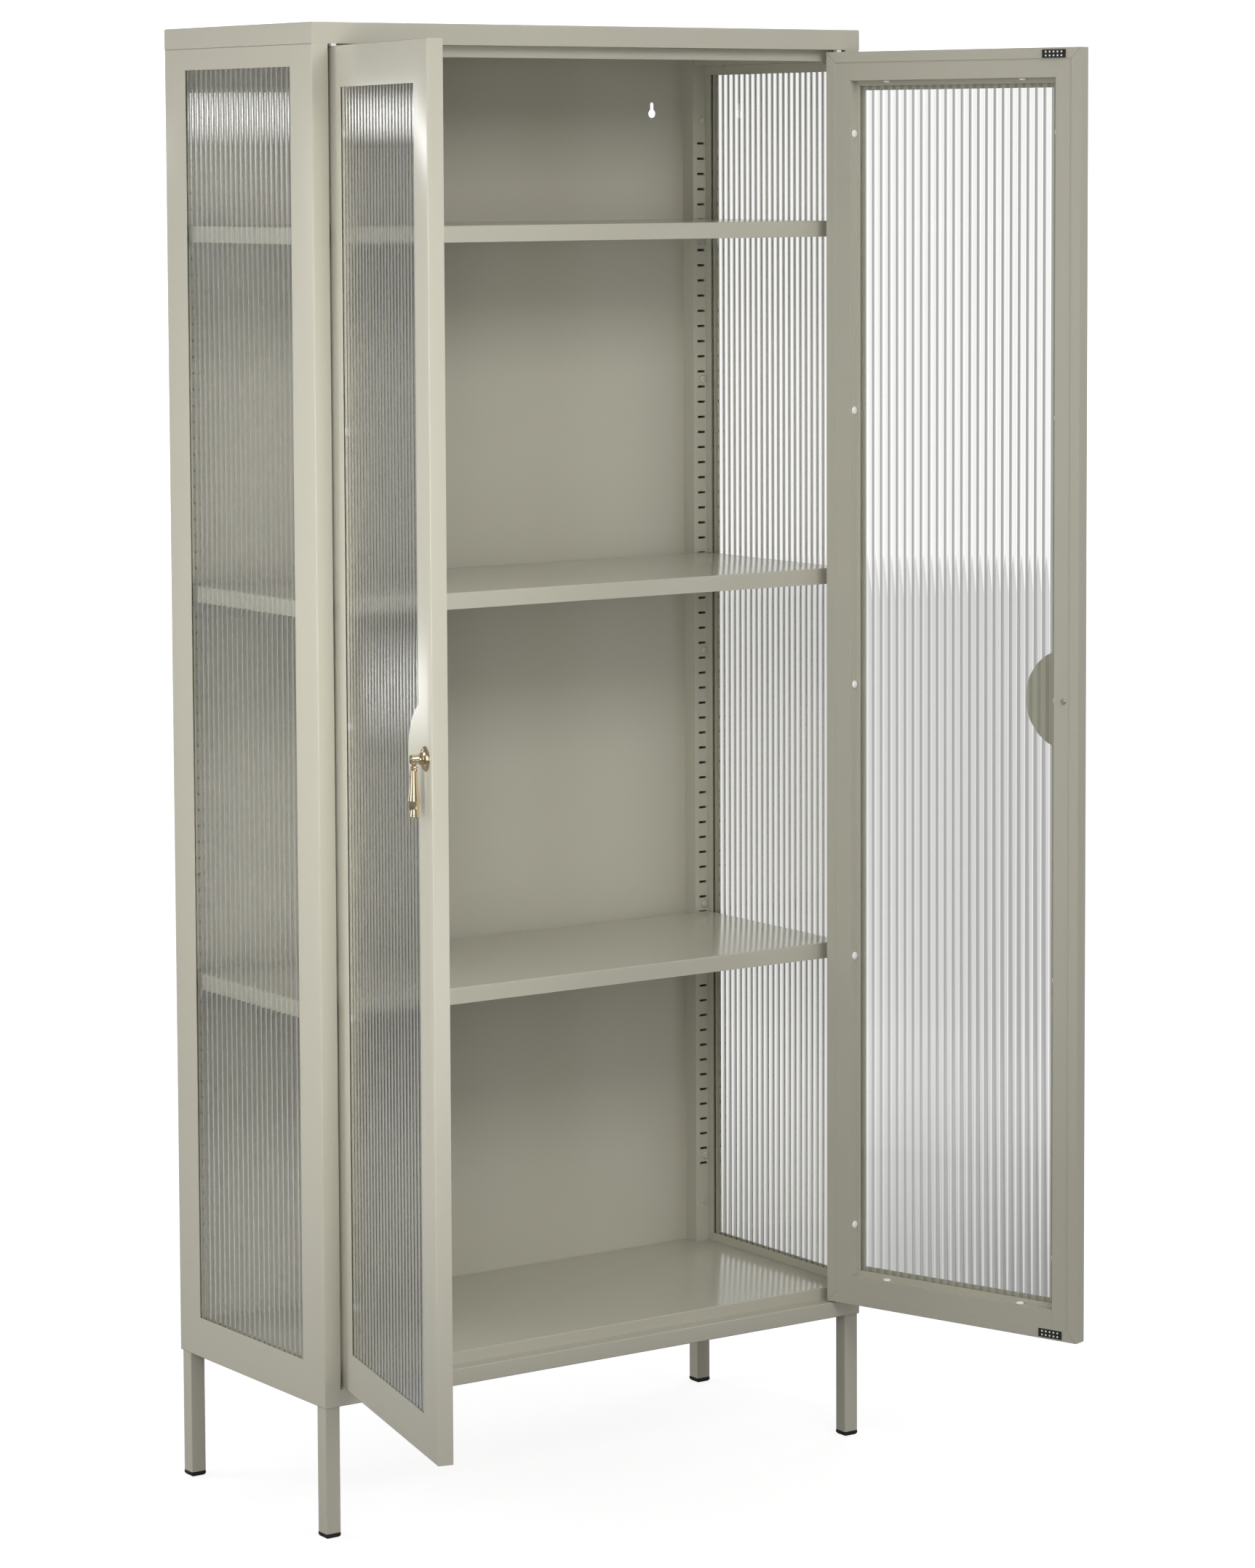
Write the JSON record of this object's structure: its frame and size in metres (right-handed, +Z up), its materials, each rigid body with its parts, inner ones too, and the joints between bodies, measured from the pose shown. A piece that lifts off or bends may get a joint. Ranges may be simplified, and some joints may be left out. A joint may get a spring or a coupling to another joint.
{
  "type": "display cabinet",
  "caption": "Tall display cabinet of folded sheet steel on square legs, with ribbed glass hinged doors and sides, drop pulls and adjustable shelves.",
  "frame": {"origin": "centre of the carcass footprint on the floor", "axes": "+Z up, doors facing -Y, back panel to +Y, +X to the right seen from the front"},
  "size_m": [0.9764, 0.7057, 1.8],
  "materials": {
    "painted_steel": "satin powder coat, warm stone grey",
    "ribbed_glass": "clear, vertically ribbed",
    "brass": "polished champagne brass",
    "white_plastic": "white nylon",
    "black_plastic": "black moulded plastic",
    "catch_plate": "black catch plate",
    "zinc_steel": "zinc plated"
  },
  "bodies": {
    "carcass": {"back_panel": "painted_steel", "base_front_rail": "painted_steel", "bottom_panel": "painted_steel", "foot_glides": "black_plastic", "front_left_leg": "painted_steel", "front_left_upright": "painted_steel", "front_right_leg": "painted_steel", "front_right_upright": "painted_steel", "left_side_beads": "painted_steel", "left_side_frame": "painted_steel", "left_side_glass": "ribbed_glass", "left_top_rail": "painted_steel", "leg_bolts": "zinc_steel", "pivot_bushes": "white_plastic", "rear_left_leg": "painted_steel", "rear_left_upright": "painted_steel", "rear_right_leg": "painted_steel", "rear_right_upright": "painted_steel", "right_side_beads": "painted_steel", "right_side_frame": "painted_steel", "right_side_glass": "ribbed_glass", "right_top_rail": "painted_steel", "shelf_clips": "zinc_steel", "shelf_lower": "painted_steel", "shelf_middle": "painted_steel", "shelf_upper": "painted_steel", "side_bead_clips": "painted_steel", "top_front_rail": "painted_steel", "top_panel": "painted_steel", "upright_screws": "painted_steel"},
    "left_door": {"left_door_bead_clips": "white_plastic", "left_door_beads": "painted_steel", "left_door_bottom_rail": "painted_steel", "left_door_free_stile": "painted_steel", "left_door_glass": "ribbed_glass", "left_door_hinge_stile": "painted_steel", "left_door_magnets": "catch_plate", "left_door_pivot_pins": "zinc_steel", "left_door_skin": "painted_steel", "left_door_top_rail": "painted_steel", "left_pull_pin": "brass", "left_pull_rosette": "brass", "left_pull_screw": "zinc_steel"},
    "right_door": {"right_door_bead_clips": "white_plastic", "right_door_beads": "painted_steel", "right_door_bottom_rail": "painted_steel", "right_door_free_stile": "painted_steel", "right_door_glass": "ribbed_glass", "right_door_hinge_stile": "painted_steel", "right_door_magnets": "catch_plate", "right_door_pivot_pins": "zinc_steel", "right_door_skin": "painted_steel", "right_door_top_rail": "painted_steel", "right_pull_pin": "brass", "right_pull_rosette": "brass", "right_pull_screw": "zinc_steel"},
    "left_pull": {"left_pull_drop": "brass"},
    "right_pull": {"right_pull_drop": "brass"}
  },
  "joints": [
    {"name": "left_door_hinge", "type": "hinge", "parent": "carcass", "child": "left_door", "pos_m": [-0.369, -0.171, 0.97675], "axis": [0, 0, 1], "range_deg": [-10.7, 104.3]},
    {"name": "right_door_hinge", "type": "hinge", "parent": "carcass", "child": "right_door", "pos_m": [0.369, -0.171, 0.97675], "axis": [0, 0, -1], "range_deg": [-7.3, 107.7]},
    {"name": "left_pull_swing", "type": "hinge", "parent": "left_door", "child": "left_pull", "pos_m": [-0.47178, -0.50135, 0.97675], "axis": [0.247, 0.969, 0], "range_deg": [-6, 85]},
    {"name": "right_pull_swing", "type": "hinge", "parent": "right_door", "child": "right_pull", "pos_m": [0.49119, -0.49467, 0.97675], "axis": [0.304, -0.9527, 0], "range_deg": [-6, 85]}
  ]
}
